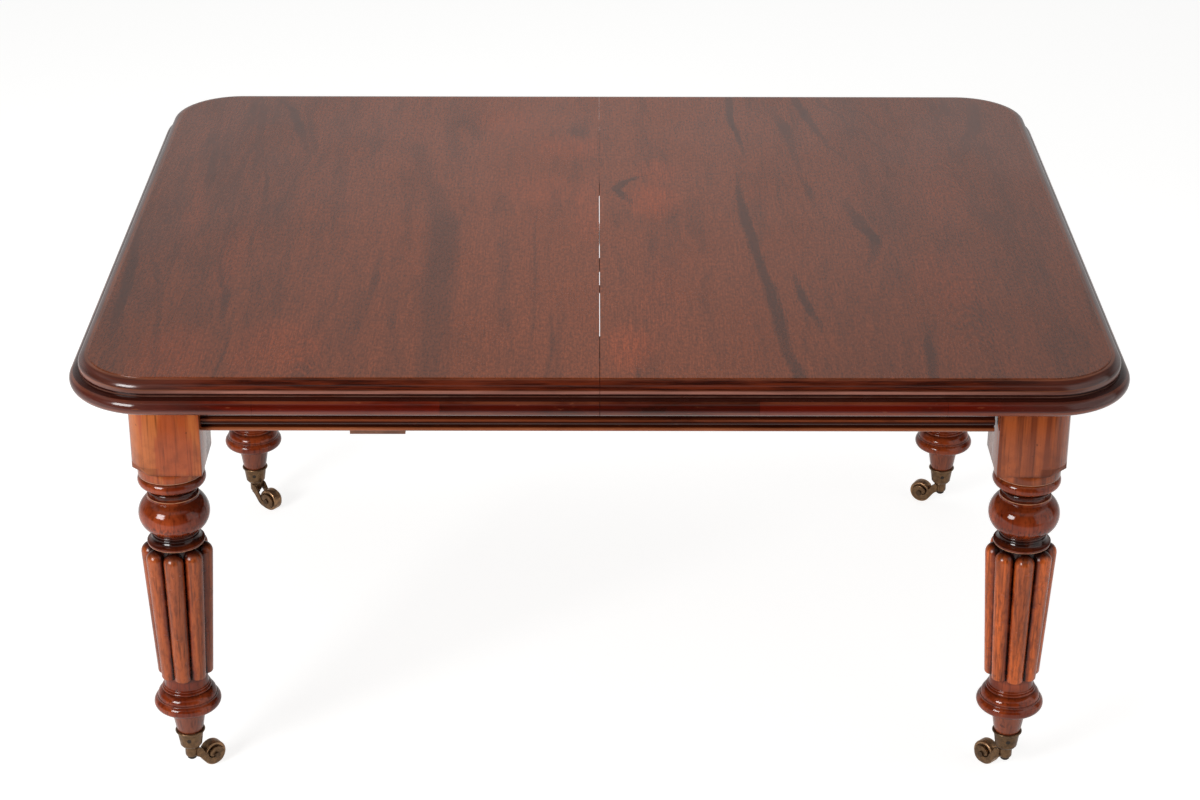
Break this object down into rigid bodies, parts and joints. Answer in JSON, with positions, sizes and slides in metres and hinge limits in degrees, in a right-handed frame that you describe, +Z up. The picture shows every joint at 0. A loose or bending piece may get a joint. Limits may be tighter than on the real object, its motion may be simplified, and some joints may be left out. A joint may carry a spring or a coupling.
{
  "type": "extending dining table",
  "caption": "Rectangular extending dining table with rounded corners, a two-part top on telescopic slides, turned reeded legs and cup castors.",
  "frame": {"origin": "on the floor, under the middle of the closed top", "axes": "+X the way the right-hand end draws out, -Y the front, +Z up"},
  "size_m": [1.5, 1.22, 0.735],
  "materials": {
    "mahogany_top": "satin French polish with a greyish bloom, grain from front to back",
    "mahogany_moulding": "glossy dark red-brown polish",
    "mahogany_leg": "glossy warm red-brown polish, darkened in the recesses",
    "frame_wood": "waxed, unpolished",
    "brass": "aged brass, olive brown",
    "iron": "dark oiled iron"
  },
  "bodies": {
    "left_end": {"top_left": "mahogany_top", "rim_end_left": "mahogany_moulding", "rim_front_left": "mahogany_moulding", "rim_back_left": "mahogany_moulding", "leg_front_left": "mahogany_leg", "leg_back_left": "mahogany_leg", "end_rail_left": "mahogany_moulding", "outer_slide_front": "frame_wood", "outer_slide_back": "frame_wood", "outer_batten": "frame_wood", "outer_batten_screws": "iron", "glue_blocks_left": "frame_wood", "top_screws_left": "iron", "seam_pegs": "frame_wood", "thrust_plate": "iron", "escutcheon": "brass", "castor_cup_front_left": "brass", "castor_cup_back_left": "brass", "swivel_pin_front_left": "iron", "swivel_pin_back_left": "iron", "cup_screws_left": "iron"},
    "middle_slides": {"middle_slide_front": "frame_wood", "middle_slide_back": "frame_wood", "middle_batten": "frame_wood", "middle_batten_screws": "iron"},
    "right_end": {"top_right": "mahogany_top", "rim_end_right": "mahogany_moulding", "rim_front_right": "mahogany_moulding", "rim_back_right": "mahogany_moulding", "leg_front_right": "mahogany_leg", "leg_back_right": "mahogany_leg", "end_rail_right": "mahogany_moulding", "inner_slide_front": "frame_wood", "inner_slide_back": "frame_wood", "nut_rail": "frame_wood", "screw_nut": "iron", "glue_blocks_right": "frame_wood", "top_screws_right": "iron", "castor_cup_front_right": "brass", "castor_cup_back_right": "brass", "swivel_pin_front_right": "iron", "swivel_pin_back_right": "iron", "cup_screws_right": "iron"},
    "screw": {"winding_screw": "iron", "screw_collar": "iron"},
    "castor_front_left": {"horn_front_left": "brass", "axle_pin_front_left": "iron"},
    "wheel_front_left_body": {"wheel_front_left": "brass"},
    "castor_front_right": {"horn_front_right": "brass", "axle_pin_front_right": "iron"},
    "wheel_front_right_body": {"wheel_front_right": "brass"},
    "castor_back_left": {"horn_back_left": "brass", "axle_pin_back_left": "iron"},
    "wheel_back_left_body": {"wheel_back_left": "brass"},
    "castor_back_right": {"horn_back_right": "brass", "axle_pin_back_right": "iron"},
    "wheel_back_right_body": {"wheel_back_right": "brass"}
  },
  "joints": [
    {"name": "extension", "type": "slide", "parent": "left_end", "child": "right_end", "axis": [1, 0, 0], "range_m": [0, 0.9]},
    {"name": "middle_travel", "type": "slide", "parent": "left_end", "child": "middle_slides", "axis": [1, 0, 0], "range_m": [0, 0.45]},
    {"name": "screw_turn", "type": "hinge", "parent": "left_end", "child": "screw", "pos_m": [-0.632, 0, 0.66], "axis": [1, 0, 0], "range_deg": [0, 25515]},
    {"name": "swivel_front_left", "type": "hinge", "parent": "left_end", "child": "castor_front_left", "pos_m": [-0.625, -0.441, 0.04], "axis": [0, 0, 1], "continuous": true},
    {"name": "roll_front_left", "type": "hinge", "parent": "castor_front_left", "child": "wheel_front_left_body", "pos_m": [-0.59742, -0.41786, 0.0195], "axis": [-0.6428, 0.766, 0], "continuous": true},
    {"name": "swivel_front_right", "type": "hinge", "parent": "right_end", "child": "castor_front_right", "pos_m": [0.625, -0.441, 0.04], "axis": [0, 0, 1], "continuous": true},
    {"name": "roll_front_right", "type": "hinge", "parent": "castor_front_right", "child": "wheel_front_right_body", "pos_m": [0.60091, -0.41425, 0.0195], "axis": [-0.7431, -0.6691, 0], "continuous": true},
    {"name": "swivel_back_left", "type": "hinge", "parent": "left_end", "child": "castor_back_left", "pos_m": [-0.625, 0.441, 0.04], "axis": [0, 0, 1], "continuous": true},
    {"name": "roll_back_left", "type": "hinge", "parent": "castor_back_left", "child": "wheel_back_left_body", "pos_m": [-0.59625, 0.41934, 0.0195], "axis": [0.6018, 0.7986, 0], "continuous": true},
    {"name": "swivel_back_right", "type": "hinge", "parent": "right_end", "child": "castor_back_right", "pos_m": [0.625, 0.441, 0.04], "axis": [0, 0, 1], "continuous": true},
    {"name": "roll_back_right", "type": "hinge", "parent": "castor_back_right", "child": "wheel_back_right_body", "pos_m": [0.59351, 0.45845, 0.0195], "axis": [-0.4848, -0.8746, 0], "continuous": true}
  ],
  "couplings": [
    {"joint": "middle_travel", "follows": "extension", "ratio": 0.5},
    {"joint": "screw_turn", "follows": "extension", "rad_per_m": 494.74}
  ]
}
